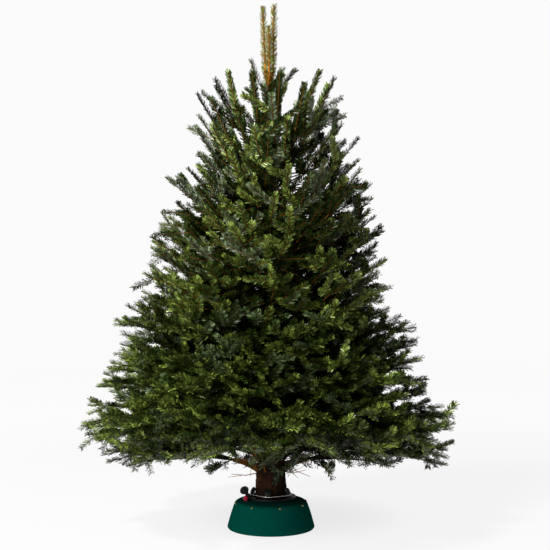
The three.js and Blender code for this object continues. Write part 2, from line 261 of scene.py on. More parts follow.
def finished(piece, body, replaced):
    """Puts a finished piece on its body and in place of its solids."""
    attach(piece, body)
    if replaced:
        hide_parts(*replaced)


def shade(mesh, smooth=True):
    mesh.polygons.foreach_set("use_smooth", [smooth] * len(mesh.polygons))
    mesh.update()


def turns(count):
    """The angles of this many places round a circle, in radians."""
    return [2 * math.pi * k / count for k in range(count)]


# ---- reading the solids ---------------------------------------------------------------------------
def corners(node):
    """A solid's own vertices, as an array in metres."""
    mesh = NODES[node].data
    points = np.empty(len(mesh.vertices) * 3)
    mesh.vertices.foreach_get("co", points)
    return np.unique(np.round(points.reshape(-1, 3), 6), axis=0)


def polar(radius, azimuth, z):
    """The point at this distance, azimuth in degrees and height. Azimuth 0 is the front."""
    a = math.radians(azimuth)
    return Vector((radius * math.sin(a), -radius * math.cos(a), z))


def slanted(azimuth, steep):
    """The direction at this azimuth, so many degrees above level."""
    return polar(math.cos(math.radians(steep)), azimuth, math.sin(math.radians(steep)))


class Trunk:
    """The trunk solid's middle and radius at any height."""

    def __init__(self):
        points = corners("trunk")
        self.heights = np.unique(np.round(points[:, 2], 3))
        rings = [points[np.abs(points[:, 2] - z) < 0.001] for z in self.heights]
        self.middles = np.array([ring.mean(0) for ring in rings])
        spread = [np.hypot(*(ring - middle)[:, :2].T) for ring, middle in zip(rings, self.middles)]
        self.radii = np.array([s[s > 0.5 * s.max()].mean() for s in spread])

    def middle(self, z):
        return Vector([float(np.interp(z, self.heights, self.middles[:, i])) for i in (0, 1)] + [z])

    def radius(self, z):
        return float(np.interp(z, self.heights, self.radii))


class Mass:
    """A foliage solid's azimuths, reach and arch, to grow boughs in."""

    def __init__(self, node):
        self.node = node
        self.tier = "abcdefghij".index(node[8])
        points = corners(node)
        radii = np.hypot(points[:, 0], points[:, 1])
        way = points[:, :2].sum(0)
        self.azimuth = math.degrees(math.atan2(way[0], -way[1]))
        own = np.degrees(np.arctan2(points[:, 0], -points[:, 1]))
        offsets = (own - self.azimuth + 180) % 360 - 180
        self.azimuth += (offsets.max() + offsets.min()) / 2
        offsets -= (offsets.max() + offsets.min()) / 2
        self.half = offsets.max()
        columns = np.round(offsets / self.half * 3).astype(int)
        self.tips = [radii[columns == column].max() for column in range(-3, 4)]
        self.start = radii.min()
        self.arch = np.polyfit(radii, points[:, 2], 2)

    def reach(self, across):
        """How far the boughs go out at a place across the mass: the line through its three points."""
        return float(np.interp(across, (-2 / 3, 0, 2 / 3), self.tips[1::2]))

    def height(self, radius):
        return float(np.polyval(self.arch, radius))

    def point(self, across, radius):
        return polar(radius, self.azimuth + self.half * across, self.height(radius))


# ---- the growing rule -----------------------------------------------------------------------------
CROWDING = (1.0, 0.8, 0.4, 0.25, 0.15)  # share of its needles that a shoot still has, by its age
DEAD = 9  # the age of wood without needles
TONES = ("deep", "dark", "leaf", "fresh", "grey", "silver", "straw")
DEEP, DARK, LEAF, FRESH, GREY, SILVER, STRAW = range(len(TONES))
WOODS = ("young", "twig", "bough", "leader")
YOUNG, TWIG, BOUGH, LEADER = range(len(WOODS))
BARE = (DEEP, DEEP, 0.0, 1.0)  # what a shoot without needles is dealt
YOUNG_WOOD_FROM = 0.8  # height above which the youngest twigs are orange


class Shoots:
    """Shoots as three points each, with what their needles and wood need."""

    def __init__(self):
        self.points = []
        self.facts = []

    def add(self, start, end, up, radii, age, deal, vigour=1.0, lean=54.0, wrap=118.0, bow=None):
        """One shoot, with the needles that it is dealt. None stand on it after five years."""
        middle = (start + end) / 2 + (bow or Vector())
        self.points += [start, middle, end]
        *tones, crowding, broad = deal
        crowding *= CROWDING[age] if age < len(CROWDING) else 0.0
        if tones[0] == STRAW or age == DEAD and radii[0] < 0.003:
            wood = LEADER
        elif age > 2:
            wood = BOUGH
        else:
            wood = YOUNG if middle.z > YOUNG_WOOD_FROM and age < 2 else TWIG
        for radius in (radii[0], (radii[0] + radii[1]) / 2, radii[1]):
            self.facts.append((*up, radius, crowding, *tones, vigour, lean, wrap, wood, broad))

    def needle_count(self, per_metre):
        total = 0.0
        for i in range(0, len(self.points), 3):
            length = (self.points[i + 2] - self.points[i]).length
            total += length * self.facts[i][CROWDING_COLUMN]
        return total * per_metre

    def source(self, name, bare=False):
        """An object of loose lines, one for each shoot; without its bare shoots unless asked for."""
        facts = np.array(self.facts)
        points = np.array([tuple(point) for point in self.points])
        if not bare:
            keep = facts[:, CROWDING_COLUMN] > 0
            facts, points = facts[keep], points[keep]
        mesh = bpy.data.meshes.new(name)
        starts = np.arange(0, len(points), 3)
        edges = np.stack([starts, starts + 1, starts + 1, starts + 2], 1).reshape(-1, 2)
        mesh.from_pydata(points.tolist(), edges.tolist(), [])
        up = mesh.attributes.new("up", "FLOAT_VECTOR", "POINT").data
        up.foreach_set("vector", facts[:, :3].ravel())
        for column, key in enumerate(COLUMNS, 3):
            data = mesh.attributes.new(key, "FLOAT", "POINT").data
            data.foreach_set("value", np.ascontiguousarray(facts[:, column]))
        return link(name, mesh)


RISE_FROM, RISE_PER_METRE, RISE_MOST = 1.2, 2.25, 0.45  # how shoots high in the crown point up


def rising(way, height):
    """A shoot's direction, turned up where it hangs too low for the top of the crown."""
    least = min(RISE_MOST, RISE_PER_METRE * (height - RISE_FROM))
    return Vector((way.x, way.y, max(way.z, least))).normalized()


CLEAR_TRUNK = 0.3  # no side branch grows lower and nearer the axis than this, in metres
TWIG_TIP, YEAR_FOOT, YEAR_HEAD = 0.001, 0.0005, 0.0004  # radius, and what each year adds to it
BOUGH_TIP = 0.0012
SHORT_SHOOT = (0.0011, 0.0009)  # radii


class Grower:
    """Branches like a fir: each year a shoot, and at its end a pair of side branches."""

    def __init__(self, settings, seed, shoots, crown):
        self.settings = settings
        self.random = random.Random(seed)
        self.shoots = shoots
        self.deal = crown.dealer(self.random)

    def jitter(self, size):
        return Vector([self.random.uniform(-size, size) for _ in range(3)])

    def aside(self, heading, up, angle, sway):
        """A side shoot's own upward direction, and where it points, at this angle in degrees."""
        own_up = Matrix.Rotation(self.random.uniform(-sway, sway), 3, heading) @ up
        return own_up, Matrix.Rotation(math.radians(angle), 3, own_up) @ heading

    def branch(self, point, heading, up, years, stride, order, lift):
        """A branch of so many years' shoots, with its side branches."""
        for year in range(years):
            left = years - year - 1
            length = stride * self.random.uniform(0.86, 1.14)
            heading = (heading + UP * lift + self.jitter(0.06)).normalized()
            heading = rising(heading, point.z)
            side = heading.cross(up).normalized()
            up = side.cross(heading).normalized()
            end = point + heading * length
            bow = up * length * self.random.uniform(-0.05, 0.02)
            radii = (TWIG_TIP + YEAR_FOOT * (left + 1), TWIG_TIP + YEAR_HEAD * left)
            self.shoot(point, end, up, radii, left, order, bow)
            self.between(point, heading, up, length, left, order)
            if left:
                self.pair(end, heading, up, left, stride, order, lift)
            point = end

    def shoot(self, start, end, up, radii, age, order, bow=None):
        """One shoot, whose needles vary a little from the next one's."""
        vigour = self.random.uniform(0.92, 1.08) * (0.94 if order > 1 else 1.0)
        lean = self.random.uniform(42, 56)
        self.shoots.add(start, end, up, radii, age, self.deal(end, age), vigour, lean, bow=bow)

    def pair(self, node, heading, up, left, stride, order, lift):
        """A side branch to either hand of a node."""
        random, settings = self.random, self.settings
        for hand in (-1, 1):
            years = max(1, round(left * settings.side_share + random.uniform(-0.45, 0.45)))
            angle = (settings.side_angle + random.uniform(-8, 8)) * hand
            own_up, way = self.aside(heading, up, angle, 0.5)
            reach = stride * (0.86 if left > 1 else random.uniform(0.6, 0.9))
            turn_up = lift + random.uniform(-0.12, 0.2) / years
            self.branch(node, way, own_up, years, reach, order + 1, turn_up)

    def between(self, start, heading, up, length, left, order):
        """Short single shoots between two pairs, fewer of them high in the crown."""
        random = self.random
        if left > 4 or order > 2:
            return
        for hand in (-1, 1):
            if random.random() > self.settings.between_chance * (1.25 - 0.55 * start.z):
                continue
            own_up, way = self.aside(heading, up, random.uniform(48, 66) * hand, 0.7)
            node = start + heading * length * random.uniform(0.35, 0.75)
            end = node + rising(way, node.z) * length * random.uniform(0.5, 0.9)
            self.shoot(node, end, own_up, SHORT_SHOOT, 0, 2)

    def bough(self, route, width, stride, lift, bare):
        """A main bough along a route of points, with side branches from its nodes."""
        years = len(route) - 1
        for year in range(years):
            left = years - year - 1
            start, end = route[year], route[year + 1]
            heading = (end - start).normalized()
            side = heading.cross(UP).normalized()
            up = side.cross(heading).normalized()
            up = Matrix.Rotation(self.random.uniform(-0.2, 0.2), 3, heading) @ up
            radii = [BOUGH_TIP + width * ((left + more) / years) ** 0.9 for more in (1, 0)]
            self.shoot(start, end, up, radii, left if year >= bare else DEAD, 0)
            clear = end.z > CLEAR_TRUNK or math.hypot(end.x, end.y) > CLEAR_TRUNK
            if year >= bare and clear:
                self.between(start, heading, up, (end - start).length, left, 0)
            if left and year + 1 >= bare and clear:
                self.pair(end, heading, up, left, stride, 0, lift)


BOUGHS = (7, 9, 8, 9, 9, 8, 9, 9, 8, 4)  # boughs in each mass, by tier from the ground up
TOP_TIER = len(BOUGHS) - 1
DROOP, FRONT_RISE = (0.095, 0.03), (0.085, 0.03)  # of the two lowest tiers' tips
LOPSIDED_TIER = 3.6  # the tier that reaches out furthest to the left
BOTTOM_GREEN_YEARS = 3
STOUT, SLIM = 0.006, 0.004  # a main and a lesser bough's radius at the trunk, over its tip's
DEAD_TWIGS = 34
LIMB_SEED, TOP_SEED = 41, 77
# shoots straight from the trunk: height, azimuth, degrees above level, length
TOP_WHORL = (
    (1.6, -78, 62, 0.145),
    (1.605, 74, 40, 0.165),
    (1.595, 168, 50, 0.13),
    (1.57, -14, 38, 0.12),
    (1.61, 128, 58, 0.13),
    (1.54, -130, 42, 0.15),
    (1.53, 40, 40, 0.14),
    (1.3, 62, 42, 0.17),
    (1.35, 20, 45, 0.17),
    (1.4, -45, 45, 0.16),
    (1.27, 118, 40, 0.18),
    (1.25, -105, 40, 0.18),
    (1.33, 178, 40, 0.17),
    (1.16, 84, 35, 0.19),
    (1.12, 8, 35, 0.19),
)


# two tones for shoots of one patch of the crown, each up to this brightness of the patch
OLD_TONES = ((0.3, (DARK, DEEP)), (0.7, (DARK, LEAF)), (math.inf, (LEAF, DARK)))
NEW_TONES = ((0.32, (DARK, LEAF)), (0.5, (LEAF, DARK)), (0.7, (LEAF, FRESH)), (math.inf, (FRESH, LEAF)))
MIDDLE_TIER = 5
CROWN_FOOT, CROWN_HEIGHT = 0.25, 1.45


class Crown:
    """All the shoots of the crown, mass by mass."""

    def __init__(self, settings):
        self.settings = settings
        self.trunk = Trunk()
        self.masses = [Mass(node) for node in MASSES]
        self.shoots = {mass.node: Shoots() for mass in self.masses}
        self.tips = []
        for tier in range(len(BOUGHS)):
            own = [mass for mass in self.masses if mass.tier == tier]
            reach = float(np.mean([max(mass.tips) for mass in own]))
            self.tips.append((float(np.mean([mass.height(reach) for mass in own])), reach))
        self.limbs = {}
        for node in BARE_BOUGHS:
            points = corners(node)
            end = Vector(points[np.hypot(points[:, 0], points[:, 1]).argsort()[-8:]].mean(0))
            near = min(self.masses, key=lambda mass: (mass.point(0, mass.start) - end).length)
            self.limbs[near.node] = end
        for number, mass in enumerate(self.masses):
            self.fill(mass, 1000 * settings.seed + number)
        self.limb_ends(self.shoots[MASSES[0]])
        self.top = Shoots()
        self.crown_top()

    def dealer(self, rng):
        """Deals out two needle tones, crowding and breadth: silver high up, and dark inside the crown,
        partly for older needles and partly as painted shade.
        """
        heights, reaches = zip(*self.tips)

        def deal(end, age):
            height = (end.z - CROWN_FOOT) / CROWN_HEIGHT
            depth = math.hypot(end.x, end.y) / float(np.interp(end.z, heights, reaches))
            draw = rng.random()
            patch = 0.76 - 0.32 * height + 1.15 * noise.noise(end * 11) + rng.uniform(-0.12, 0.12)
            pale = 0.5 + 1.15 * noise.noise(end * 8 + Vector((5, 3, 1))) + rng.uniform(-0.1, 0.1)
            # needles deep inside the crown get deep and dark green: partly older needles, partly
            # painted shade of the crown's inside
            if depth < 0.4 + 0.1 * height < 0.48:
                return DEEP, DEEP if draw < 0.6 else DARK, 0.4, 1.6
            if depth < 0.56 + 0.16 * height < 0.71:
                return DEEP if draw < 0.25 else DARK, DARK if draw < 0.5 else LEAF, 0.7, 1.25
            if age >= 1:
                return *next(tones for top, tones in OLD_TONES if patch < top), 1.1, 1.0
            tones = next(tones for top, tones in NEW_TONES if patch < top)
            # grey and silver sprays thin out towards the right: painted shade on the side away from the
            # key light
            high, right = max(0.0, height), max(0.0, end.x / reaches[MIDDLE_TIER])
            if pale < (0.1 + 0.38 * high**1.5) * (1 - right):
                tones = (SILVER if height > 0.5 else GREY, LEAF)
            return *tones, 1.2 + 0.42 * high, 1.0

        return deal

    def edge(self, level):
        """The height and reach of the crown's edge at a tier number with a fraction."""
        numbers = range(len(self.tips))
        return tuple(float(np.interp(level, numbers, measure)) for measure in zip(*self.tips))

    def fill(self, mass, seed):
        """The boughs of one mass: their tips are spread evenly between the tiers above and below."""
        settings = self.settings
        grower = Grower(settings, seed, self.shoots[mass.node], self)
        rng = grower.random
        level = mass.tier / TOP_TIER
        lift = -0.07 + 0.16 * level + 0.33 * level**3
        stride = settings.shoot_length * (1 + 0.36 * level)
        step = settings.bough_step * (1 + 0.2 * level**3)
        count = BOUGHS[mass.tier]
        for number in range(count):
            across = -0.9 + 1.8 * (number + rng.uniform(0.3, 0.7)) / count
            climb = (number * 0.618 + 0.5) % 1 - 0.5
            if mass.tier == 0:
                climb = abs(climb)
            elif mass.tier == 1:
                climb = max(-0.1, climb)
            elif mass.tier == TOP_TIER:
                climb = -0.3 * abs(climb)
            main = number % 3 == 1
            share = rng.uniform(0.98, 1.03) if main else rng.uniform(0.89, 1.01)
            left = -math.sin(math.radians(mass.azimuth + mass.half * across))
            near = math.exp(-((mass.tier - LOPSIDED_TIER) ** 2) / 4)
            share *= 1 + settings.lopsided * max(0.0, left) ** 2 * near
            route = self.route(mass, across, climb, share, step, grower)
            width = (STOUT if main else SLIM) * (1 - 0.5 * level)
            green = settings.green_years if mass.tier else BOTTOM_GREEN_YEARS
            bare = max(1, len(route) - 1 - green)
            grower.bough(route, width, stride, lift, bare)

    def route(self, mass, across, climb, share, step, grower):
        """The nodes of a bough, out along the mass's arch from the trunk or its limb to its tip."""
        (z0, r0), (z1, r1) = self.edge(mass.tier), self.edge(mass.tier + climb)
        reach = mass.reach(across) * share * r1 / r0
        limb = self.limbs.get(mass.node)
        foot = limb or self.trunk.middle(max(0.2, mass.height(0.04) + z1 - z0))
        inner = math.hypot(foot.x, foot.y) if limb else 0.0
        years = max(2, round((reach - inner) / step))
        swing = grower.random.uniform(-0.12, 0.12)
        steep = (mass.tier / TOP_TIER) ** 3
        broadside = abs(math.sin(math.radians(mass.azimuth + mass.half * across)))
        fall = DROOP[mass.tier] * broadside - FRONT_RISE[mass.tier] if mass.tier < len(DROOP) else 0.0
        points = [foot]
        for year in range(1, years + 1):
            t = year / years
            radius = inner + (reach - 0.014 - inner) * t ** (0.92 - 0.24 * steep)
            half_wave = math.sin(math.pi * t)
            bend = across * (1 - 0.25 * (1 - t)) + swing * half_wave
            arch = mass.height((inner + (reach - inner) * t ** (1 + 0.4 * steep)) * r0 / r1)
            z = arch + (z1 - z0) * (t**0.5 if limb else 1) - 0.02 * steep * half_wave - fall * t
            spot = polar(radius, mass.azimuth + mass.half * bend, z)
            points.append(spot + (grower.jitter(0.008) if year < years else Vector()))
        return points

    def limb_ends(self, shoots):
        """Drooping sprays at the bare limbs' ends, and thin dead twigs round the trunk's foot."""
        grower = Grower(self.settings, LIMB_SEED, shoots, self)
        rng, deal = grower.random, grower.deal
        grower.deal = lambda end, age: (*deal(end * 8, age)[:2], 1.2, 1.0)
        for end in self.limbs.values():
            azimuth = math.degrees(math.atan2(end.x, -end.y))
            if abs(azimuth) > 50:
                way = polar(0.8, azimuth + math.copysign(22, azimuth) + rng.uniform(-12, 12), -0.4)
                grower.branch(end, way.normalized(), UP, 2, 0.05, 1, -0.1)
        for _ in range(DEAD_TWIGS):
            azimuth, z = rng.uniform(0, 360), rng.uniform(0.2, 0.4)
            start = self.trunk.middle(z) + polar(self.trunk.radius(z) * 0.9, azimuth, 0)
            way = slanted(azimuth, rng.uniform(-15, 45))
            end = start + way * rng.uniform(0.06, 0.17)
            bow = grower.jitter(0.012)
            shoots.add(start, end, UP, (0.0021, 0.0009), DEAD, BARE, bow=bow)
            fork = start + (end - start) * rng.uniform(0.4, 0.7) + bow
            tip = fork + (way + grower.jitter(0.7)) * rng.uniform(0.02, 0.06)
            shoots.add(fork, tip, UP, (0.0012, 0.0007), DEAD, BARE)

    def crown_top(self):
        """The whorl under the leading shoots, and the leading shoots with their long needles."""
        grower = Grower(self.settings, TOP_SEED, self.top, self)
        for height, azimuth, steep, length in TOP_WHORL:
            foot, way = self.trunk.middle(height), slanted(azimuth, steep)
            grower.branch(foot, way, UP, 1, length, 1, 0.12)
        for node in LEADERS:
            points = corners(node)
            order = points[:, 2].argsort()
            foot, tip = Vector(points[order[:8]].mean(0)), Vector(points[order[-8:]].mean(0))
            start = self.trunk.middle(self.trunk.heights[-1] - 0.01)
            knee = foot + (tip - foot) * 0.12
            up = Vector((0.3, -1, 0)).normalized()
            needles = (STRAW, FRESH, 1.0, 1.0)
            self.top.add(start, knee, up, (0.0055, 0.0045), 0, needles, 0.9, 52, 180)
            self.top.add(knee, tip, up, (0.0045, 0.0024), 0, needles, 0.95, 50, 180)


# ---- settings -------------------------------------------------------------------------------------
def number(name, description, default, **more):
    return bpy.props.FloatProperty(name=name, description=description, default=default, **more)


def paint(name, description, default):
    return bpy.props.FloatVectorProperty(
        name=name, description=description, default=default, subtype="COLOR", size=3, min=0, max=1
    )


class TreeFoliageSettings(bpy.types.PropertyGroup):
    """How the crown branches, and its needles."""

    seed: bpy.props.IntProperty(name="Seed", description="Which tree of this build grows", default=3)
    needle_length: number("Needle length", "Length of a full needle", 0.0215, unit="LENGTH")
    needle_width: number("Needle width", "Width of a needle at its middle", 0.0041, unit="LENGTH")
    needles_per_metre: number("Needles per metre", "Needles on each metre of a young shoot", 780.0)
    shoot_length: number("Shoot length", "A year's growth of a side branch", 0.099, unit="LENGTH")
    bough_step: number("Bough step", "A year's growth of a main bough", 0.11, unit="LENGTH")
    side_share: number("Side share", "Years of a side branch for each year beyond it", 0.6)
    side_angle: number("Side angle", "Degrees between a branch and its side branches", 48.0)
    green_years: bpy.props.IntProperty(
        name="Green years", description="Outer years of a bough that carry side branches", default=4
    )
    lopsided: number("Lopsided", "How much further the middle boughs reach out to the left", 0.12)
    between_chance: number("Between chance", "Chance of a short shoot between two pairs", 0.4)
    # deep and dark green are also painted shade, dealt to the needles deep inside the crown
    deep: paint("Deep green", "Oldest and shaded needles", (0.0016, 0.0031, 0.0005))
    dark: paint("Dark green", "Second-year needles", (0.0042, 0.0082, 0.0011))
    leaf: paint("Green", "Most young needles", (0.0135, 0.0235, 0.0028))
    fresh: paint("Fresh green", "The youngest sprays", (0.08, 0.107, 0.017))
    grey: paint("Grey green", "Sprays that show their undersides", (0.045, 0.062, 0.026))
    silver: paint("Silver", "High sprays that show their undersides", (0.064, 0.08, 0.043))
    straw: paint("Straw", "Needles of the leading shoots", (0.085, 0.056, 0.006))
    young_wood: paint("Young wood", "Bark of the youngest twigs", (0.06, 0.024, 0.004))
    twig_wood: paint("Twig wood", "Bark of older twigs", (0.011, 0.007, 0.002))
    bough_wood: paint("Bough wood", "Bark of the inner boughs", (0.007, 0.004, 0.002))
    leader_wood: paint("Leader wood", "Bark of the leading shoots", (0.17, 0.056, 0.006))


class TreeBarkSettings(bpy.types.PropertyGroup):
    """The relief and colours of the bark."""

    relief: number("Relief", "Depth of the bark's plates", 0.0022, unit="LENGTH")
    dark: paint("Dark bark", "The cracks and the shaded side", (0.004, 0.002, 0.001))
    brown: paint("Brown bark", "Most of the bark", (0.0135, 0.0055, 0.002))
    # orange bark also lightens the bark of the limbs on the lit left side, as painted light
    orange: paint("Orange bark", "Rubbed, younger bark", (0.075, 0.028, 0.006))


class TreeStandSettings(bpy.types.PropertyGroup):
    """The stand's colours."""

    cover: paint("Cover", "The domed cover's plastic", (0.0004, 0.0325, 0.0235))
    # the deck's colour is partly painted shade from the crown above
    deck: paint("Deck", "The cover's top, inside its rim", (0.0004, 0.013, 0.0095))
    fittings: paint("Fittings", "The clamp ring, claws and pedal", (0.0012, 0.0016, 0.0014))
    lock: paint("Lock tab", "The pedal's lock tab", (0.15, 0.003, 0.014))
    brass: paint("Screws", "The cover's screws", (0.65, 0.48, 0.16))
    steel: paint("Cable", "The clamp's cable", (0.55, 0.55, 0.53))


class TreeStageSettings(bpy.types.PropertyGroup):
    """The floor, the light and the camera."""

    distance: number("Camera distance", "From the trunk to the camera", 4.25, unit="LENGTH")
    height: number("Camera height", "Above the floor", 0.945, unit="LENGTH")
    lens: number("Lens", "Focal length in millimetres", 74.2)
    ambient: number("Room light", "Strength of the light from all sides", 0.3)
    key: number("Key light", "Watts of the large soft light at the upper left", 2450.0)
    fill: number("Fill light", "Watts of the low light at the left", 190.0)
    # the floor's dimmer glow beside the stand is a painted shadow of the tree
    floor_near_shadow: paint("Floor near", "The floor's glow beside the stand", (0.8, 0.8, 0.8))
    floor_middle: paint("Floor middle", "The floor's glow round the stand", (0.89, 0.886, 0.89))
    floor_far: paint("Floor far", "The glow of the far floor and the wall", (0.93, 0.925, 0.93))


# ---- foliage --------------------------------------------------------------------------------------
def needle_shape(length, width):
    """A flat needle along +Z with its upper face to +Y."""
    half = width / 2
    points = [
        (0.5 * half, 0, 0),
        (half, 0.0012, 0.97 * length),
        (-0.8 * half, 0.0014, length),
        (-0.5 * half, 0.0002, 0),
    ]
    mesh = bpy.data.meshes.new("needle")
    mesh.from_pydata(points, [], [(0, 1, 3), (1, 2, 3)])
    return link("needle", mesh)


ROUGHNESS = (0.6, 0.45, 0.36, 0.34, 0.36, 0.36, 0.5)  # of the needles, by tone
SHINE = (0.0, 0.02, 0.12, 0.22, 0.2, 0.24, 0.05)


def needle_materials(look):
    return [
        Surface(f"needles {name}", getattr(look, name), rough, specular_ior_level=shine).material
        for name, rough, shine in zip(TONES, ROUGHNESS, SHINE)
    ]


def wood_materials(look):
    return [
        Surface(f"wood {name}", getattr(look, f"{name}_wood"), 0.8, specular_ior_level=0.02).material
        for name in WOODS
    ]


GOLDEN_TURN = 0.6180339  # of the round, from one needle to the next


def needles(name, shoots, look, materials):
    """Needles along every shoot: each turned on from the last, and none straight down."""
    needle = needle_shape(look.needle_length, look.needle_width)
    inputs = {"Spacing": 1 / look.needles_per_metre, "Seed": 11.0, "Needle": needle}
    net = Sockets("Needles along shoots", inputs)
    spacing = net.start.out("Spacing") / net.named("crowding").math("MAXIMUM", 0.1)
    inputs = {"Curve": net.curves(), "Length": spacing}
    curve = net.add("GeometryNodeResampleCurve", {"mode": "LENGTH"}, inputs)
    index = net.add("GeometryNodeInputIndex")
    seed = net.start.out("Seed")
    along = net.add("GeometryNodeSplineParameter", None, None, "Factor")
    tangent = net.add("GeometryNodeInputTangent").unit()
    side = tangent.vector("CROSS_PRODUCT", net.named("up", "FLOAT_VECTOR")).unit()
    up = side.vector("CROSS_PRODUCT", tangent).unit()

    turn = (index * GOLDEN_TURN).math("FRACT") * 2.0 - 1.0 + net.random(-0.12, 0.12, index, seed)
    round_it = (turn * net.named("wrap")).math("RADIANS")
    lean = net.named("lean") * (1.14 - 0.42 * along) + net.random(-7.0, 7.0, index, seed + 1.0)
    lean = lean.math("RADIANS")
    around = up.scaled(round_it.math("COSINE")).vector("ADD", side.scaled(round_it.math("SINE")))
    way = tangent.scaled(lean.math("COSINE")).vector("ADD", around.scaled(lean.math("SINE")))
    face = up.scaled(0.7).vector("ADD", around.scaled(0.5))
    inputs = {i: net.random(-0.45, 0.45, index, seed + 2.0 + i) for i in range(3)}
    face = face.vector("ADD", net.add("ShaderNodeCombineXYZ", None, inputs))
    axes = {"primary_axis": "Z", "secondary_axis": "Y"}
    inputs = {"Primary Axis": way, "Secondary Axis": face}
    turned = net.add("FunctionNodeAxesToRotation", axes, inputs)
    ends = 1.0 - (along * 2.0 - 1.0).math("ABSOLUTE") ** 6.0 * 0.2
    long = net.named("vigour") * net.random(0.82, 1.12, index, seed + 6.0) * ends
    wide = net.named("broad") * net.random(0.85, 1.15, index, seed + 7.0)
    scale = net.add("ShaderNodeCombineXYZ", None, {0: wide, 1: 1.0, 2: long})
    other = net.random(0.0, 1.0, index, seed + 8.0).math("GREATER_THAN", 0.6)
    tone = net.named("tone") + other * (net.named("other") - net.named("tone"))
    inputs = {"Rotation": turned, "Scale": scale}
    net.finish(net.scatter(net.toned(curve, tone), "Needle", inputs), materials)
    piece = net.mesh(name, shoots.source(f"{name} lines"))
    bpy.data.objects.remove(needle)
    return piece


def twigs(name, shoots, materials):
    """A tapering tube for each shoot."""
    net = Sockets("Twigs along shoots", {"Thickness": 1.0})
    curve = net.toned(net.curves(), net.named("wood"))
    radius = net.named("width") * net.start.out("Thickness")
    ring = net.add("GeometryNodeCurvePrimitiveCircle", None, {"Resolution": 5, "Radius": 1.0})
    inputs = {"Curve": curve, "Profile Curve": ring, "Scale": radius, "Fill Caps": True}
    net.finish(net.add("GeometryNodeCurveToMesh", None, inputs), materials)
    return net.mesh(name, shoots.source(f"{name} lines", bare=True))


PARCEL = 90000  # needles in one piece, at two triangles each


def parcels(crown, per_metre):
    """The masses dealt into pieces of not too many needles; the leading shoots go with the last."""
    found, load = [], math.inf
    for mass in crown.masses:
        count = crown.shoots[mass.node].needle_count(per_metre)
        if load + count > PARCEL:
            found.append([])
            load = 0
        found[-1].append(mass.node)
        load += count
    found[-1] += LEADERS
    return found


class TREE_OT_foliage(bpy.types.Operator):
    """Grows the crown's boughs, twigs and needles in place of its masses"""

    bl_idname = "tree.foliage"
    bl_label = "Grow the foliage"

    def execute(self, context):
        look = context.scene.tree_foliage
        crown = Crown(look)
        green, wood = needle_materials(look), wood_materials(look)
        for number, nodes in enumerate(parcels(crown, look.needles_per_metre), 1):
            joined = Shoots()
            for node in nodes:
                part = crown.top if node == LEADERS[0] else crown.shoots.get(node)
                if part:
                    joined.points += part.points
                    joined.facts += part.facts
            finished(needles(f"needles_{number}", joined, look, green), "tree", nodes)
            finished(twigs(f"twigs_{number}", joined, wood), "tree", [])
        return {"FINISHED"}


# ---- bark -----------------------------------------------------------------------------------------
def tube(name, rings):
    """A closed smooth piece through rings of points."""
    sides = len(rings[0])
    points = [tuple(point) for ring in rings for point in ring]
    faces = []
    for i in range(len(rings) - 1):
        for k in range(sides):
            a, b = i * sides + k, i * sides + (k + 1) % sides
            faces.append((a, b, b + sides, a + sides))
    faces.append(tuple(reversed(range(sides))))
    faces.append(tuple(range(len(points) - sides, len(points))))
    mesh = bpy.data.meshes.new(name)
    mesh.from_pydata(points, [], faces)
    shade(mesh)
    return link(name, mesh)


def bark_height(point, radius, relief):
    """How far the bark stands out at a point: upright plates, small lumps and blisters."""
    angle = math.atan2(point.y, point.x)
    across = (math.cos(angle) * radius * PLATES, math.sin(angle) * radius * PLATES)
    plates = abs(noise.noise(Vector((*across, point.z * PLATES_UP)) * 1.6)) * 1.6
    lumps, fine = noise.noise(point * LUMPS), noise.noise(point * BLISTERS)
    return relief * (plates - 0.5 + 0.5 * lumps + 0.3 * fine)


def bark_material(look, painted_light=0.0):
    """Brown bark with dark cracks, and orange where it is young and rubbed. A lighter copy, with more
    orange, is painted light for the limbs on the lit left side.
    """
    name = "limb bark" if painted_light else "bark"
    surface = Surface(name, look.brown, 0.85, specular_ior_level=0.03)
    place = surface.place((1.0, 1.0, 0.45))
    patches = surface.noise(place, 26.0, 5.0, 0.6).ramp(0.38, 0.66)
    cracks = surface.noise(place, 90.0, 6.0, 0.7, 0.6).ramp(0.3, 0.56)
    # painted light widens and strengthens the orange patches: the lit limbs' copy is lighter as painted
    # light, the rest is rubbed bark
    low = 0.54 - 0.3 * painted_light
    rubbed_and_lit = surface.noise(surface.place(), 11.0, 3.0).ramp(low, low + 0.18)
    color = surface.mix(patches, (*look.dark, 1), (*look.brown, 1))
    color = surface.mix(rubbed_and_lit * (0.65 + 0.3 * painted_light), color, (*look.orange, 1))
    color = surface.mix(cracks, (*look.dark, 1), color)
    surface.set("Base Color", color)
    surface.bump(surface.noise(surface.place(), 380.0, 6.0, 0.7), 0.5, 0.0012)
    return surface.material


PLATES, PLATES_UP, LUMPS, BLISTERS = 60, 26, 95, 240  # bark noise scales
FINE_BARK_TOP = 0.36  # the bare trunk below this height has the closest rings
CLAMPED = (0.1, 0.153)  # heights between which the claws press the bark flat


def bark_trunk(trunk, look):
    """The trunk with its bark, and smooth where it is clamped."""
    foot, top = trunk.heights[0], trunk.heights[-1]
    heights = [*np.linspace(foot, FINE_BARK_TOP, 110), *np.linspace(FINE_BARK_TOP, top, 150)[1:]]
    rings = []
    for z in map(float, heights):
        middle, radius = trunk.middle(z), trunk.radius(z)
        ring = []
        for turn in turns(64):
            out = Vector((math.cos(turn), math.sin(turn), 0))
            point = middle + out * radius
            lift = bark_height(point, radius, look.relief) * min(1, 0.3 + radius / 0.05)
            if CLAMPED[0] < z < CLAMPED[1]:
                lift = min(lift, 0.0)
            ring.append(middle + out * (radius * 0.985 + lift))
        rings.append(ring)
    rings.append([middle + (point - middle) * 0.4 for point in rings[-1]])
    return tube("bark_trunk", rings)


